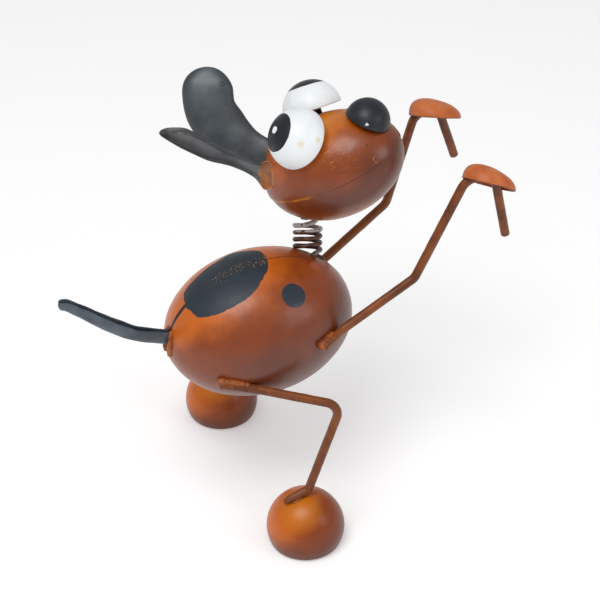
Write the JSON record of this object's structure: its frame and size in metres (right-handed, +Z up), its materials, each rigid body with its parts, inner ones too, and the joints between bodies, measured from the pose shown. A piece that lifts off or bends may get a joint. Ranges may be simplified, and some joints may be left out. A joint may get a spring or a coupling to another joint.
{
  "type": "scrap metal dog sculpture",
  "caption": "Painted metal dog figure with an egg-shaped body and head, a coil-spring neck, bent rod limbs and ball feet; stands on a shelf, table or path as a decoration",
  "frame": {"origin": "middle of the figure's bounding box, on the floor under its two flat soles", "axes": "+X the way the dog's body faces, +Y towards the dog's left side, +Z up"},
  "size_m": [0.2522, 0.1702, 0.2342],
  "materials": {
    "brown_enamel": "satin",
    "rod_enamel": "satin",
    "black_enamel": "satin",
    "slate_enamel": "satin",
    "white_enamel": "gloss",
    "spring_wire": "satin"
  },
  "bodies": {
    "root": {"body_half_right": "brown_enamel", "body_half_left": "brown_enamel", "head_upper_half": "brown_enamel", "head_lower_half": "brown_enamel", "eye_right": "white_enamel", "eye_left": "white_enamel", "nose": "black_enamel", "ear_right": "black_enamel", "ear_left": "black_enamel", "tail": "slate_enamel", "neck_spring": "spring_wire", "arm_right": "rod_enamel", "arm_left": "rod_enamel", "paw_right": "brown_enamel", "paw_left": "brown_enamel", "leg_right": "rod_enamel", "leg_left": "rod_enamel", "foot_right": "brown_enamel", "foot_left": "brown_enamel"}
  },
  "joints": []
}
